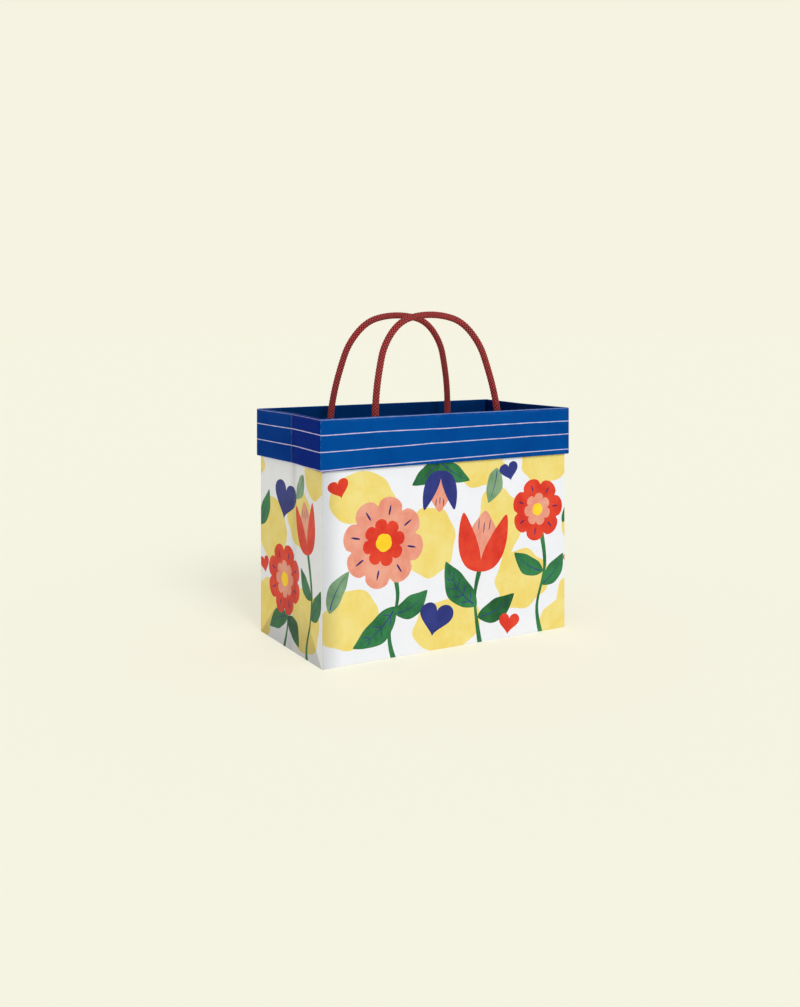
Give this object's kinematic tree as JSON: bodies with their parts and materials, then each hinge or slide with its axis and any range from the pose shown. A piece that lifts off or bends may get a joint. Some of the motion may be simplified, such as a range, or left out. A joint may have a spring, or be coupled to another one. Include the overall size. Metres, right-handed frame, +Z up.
{
  "type": "gift bag",
  "caption": "Upright paper gift bag with pleated sides, a deep coloured cuff round the mouth, a floral print and cord handles that fold over.",
  "frame": {"origin": "middle of the bottom, on the ground", "axes": "+Z up, front wall faces -Y, +X to the bag's right as seen from the front"},
  "size_m": [0.2508, 0.1316, 0.287],
  "materials": {
    "printed_paper": "white coated paper with a painted flower print, satin",
    "cuff_card": "royal blue printed card with thin pale stripes, matt",
    "kraft_board": "grey-brown board",
    "white_paper": "unprinted side of the bag's paper",
    "cord_braid": "dark red braided cord, matt",
    "barb_plastic": "natural moulded plastic"
  },
  "bodies": {
    "base": {"front_bottom_flap": "white_paper", "back_bottom_flap": "white_paper", "left_bottom_flap": "white_paper", "right_bottom_flap": "white_paper", "base_board": "kraft_board"},
    "front_wall": {"front_panel": "printed_paper", "front_rim_board": "kraft_board", "cuff_front": "cuff_card", "front_seam_tab": "white_paper", "front_cord_barb_left": "barb_plastic", "front_cord_barb_right": "barb_plastic", "front_cord_leg_left": "cord_braid", "front_cord_leg_right": "cord_braid"},
    "back_wall": {"back_panel": "printed_paper", "back_rim_board": "kraft_board", "cuff_back": "cuff_card", "back_seam_tab": "white_paper", "back_cord_barb_left": "barb_plastic", "back_cord_barb_right": "barb_plastic", "back_cord_leg_left": "cord_braid", "back_cord_leg_right": "cord_braid"},
    "left_gusset_front_half": {"left_gusset_front": "printed_paper", "cuff_left_front": "cuff_card"},
    "left_gusset_back_half": {"left_gusset_back": "printed_paper", "cuff_left_back": "cuff_card"},
    "right_gusset_front_half": {"right_gusset_front": "printed_paper", "cuff_right_front": "cuff_card"},
    "right_gusset_back_half": {"right_gusset_back": "printed_paper", "cuff_right_back": "cuff_card"},
    "front_handle": {"front_handle_loop": "cord_braid"},
    "back_handle": {"back_handle_loop": "cord_braid"}
  },
  "joints": [
    {"name": "front_wall_squeeze", "type": "hinge", "parent": "base", "child": "front_wall", "pos_m": [0, -0.06275, 0.00025], "axis": [-1, 0, 0], "range_deg": [0, 4.5], "stiffness_Nm_per_rad": 0.3, "springref_deg": -3.44},
    {"name": "back_wall_squeeze", "type": "hinge", "parent": "base", "child": "back_wall", "pos_m": [0, 0.06275, 0.00025], "axis": [1, 0, 0], "range_deg": [0, 4.5], "stiffness_Nm_per_rad": 0.3, "springref_deg": -3.44},
    {"name": "left_gusset_front_fold", "type": "hinge", "parent": "front_wall", "child": "left_gusset_front_half", "pos_m": [-0.12225, -0.06275, 0.00025], "axis": [0.3929, 0.9189, 0.0361], "range_deg": [0, 11.44], "stiffness_Nm_per_rad": 0.02, "deforming": ["left_gusset_front", "cuff_left_front"]},
    {"name": "left_gusset_back_fold", "type": "hinge", "parent": "back_wall", "child": "left_gusset_back_half", "pos_m": [-0.12225, 0.06275, 0.00025], "axis": [-0.3929, 0.9189, -0.0361], "range_deg": [0, 11.44], "stiffness_Nm_per_rad": 0.02, "deforming": ["left_gusset_back", "cuff_left_back"]},
    {"name": "right_gusset_front_fold", "type": "hinge", "parent": "front_wall", "child": "right_gusset_front_half", "pos_m": [0.12225, -0.06275, 0.00025], "axis": [0.3929, -0.9189, -0.0361], "range_deg": [0, 11.44], "stiffness_Nm_per_rad": 0.02, "deforming": ["right_gusset_front", "cuff_right_front"]},
    {"name": "right_gusset_back_fold", "type": "hinge", "parent": "back_wall", "child": "right_gusset_back_half", "pos_m": [0.12225, 0.06275, 0.00025], "axis": [-0.3929, -0.9189, 0.0361], "range_deg": [0, 11.44], "stiffness_Nm_per_rad": 0.02, "deforming": ["right_gusset_back", "cuff_right_back"]},
    {"name": "front_handle_swing", "type": "hinge", "parent": "front_wall", "child": "front_handle", "pos_m": [0, -0.0402, 0.20825], "axis": [-1, 0, 0], "range_deg": [-104, 3], "stiffness_Nm_per_rad": 0.015, "deforming": ["front_cord_leg_left", "front_cord_leg_right"]},
    {"name": "back_handle_swing", "type": "hinge", "parent": "back_wall", "child": "back_handle", "pos_m": [0, 0.0402, 0.20825], "axis": [1, 0, 0], "range_deg": [-104, 3], "stiffness_Nm_per_rad": 0.015, "deforming": ["back_cord_leg_left", "back_cord_leg_right"]}
  ],
  "couplings": [
    {"joint": "back_wall_squeeze", "follows": "front_wall_squeeze", "ratio": 1},
    {"joint": "left_gusset_front_fold", "follows": "front_wall_squeeze", "ratio": 2.538},
    {"joint": "left_gusset_back_fold", "follows": "front_wall_squeeze", "ratio": 2.538},
    {"joint": "right_gusset_front_fold", "follows": "front_wall_squeeze", "ratio": 2.538},
    {"joint": "right_gusset_back_fold", "follows": "front_wall_squeeze", "ratio": 2.538}
  ]
}
